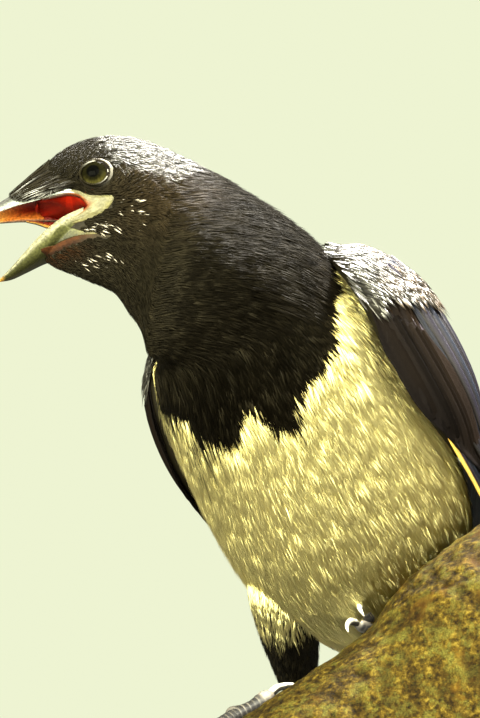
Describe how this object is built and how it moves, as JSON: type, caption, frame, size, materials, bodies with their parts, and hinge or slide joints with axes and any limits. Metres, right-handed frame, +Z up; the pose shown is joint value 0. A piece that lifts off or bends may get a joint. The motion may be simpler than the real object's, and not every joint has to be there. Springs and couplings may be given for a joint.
{
  "type": "eurasian magpie on a perch, display model",
  "caption": "Young black and white magpie crouched on a sloping cut branch, bill open, on a round base with rods.",
  "frame": {"origin": "centre of the display base's underside, on the floor", "axes": "+Z up, +X to the bird's left, -Y the way the bird's body faces"},
  "size_m": [0.2261, 0.2321, 0.346],
  "materials": {
    "plumage_black": "velvety brown-black feathers",
    "plumage_white": "soft cream-white feathers",
    "wing_feathers": "glossy blue-black vanes with white inner webs",
    "tail_feathers": "glossy green-black vanes",
    "horn": "dark horn, paler at the tip and the gape",
    "mouth_flesh": "moist red-orange skin",
    "eye": "wet, dark pupil in an olive-brown iris",
    "scutes": "dark scales with paler joints",
    "bark": "rough bark with pale patches, plain cut ends",
    "stand_wood": "turned, satin varnish",
    "stand_steel": "brushed rod"
  },
  "bodies": {
    "root": {"head": "plumage_black", "neck": "plumage_black", "torso": "plumage_white", "bill_upper": "horn", "bill_lower": "horn", "tongue": "mouth_flesh", "eye_left": "eye", "eye_right": "eye", "wing_left": "wing_feathers", "wing_right": "wing_feathers", "tail": "tail_feathers", "foot_left": "scutes", "thigh_left": "plumage_black", "foot_right": "scutes", "thigh_right": "plumage_black", "perch": "bark", "stand_base": "stand_wood", "stand_rod_low": "stand_steel", "stand_rod_high": "stand_steel"}
  },
  "joints": []
}
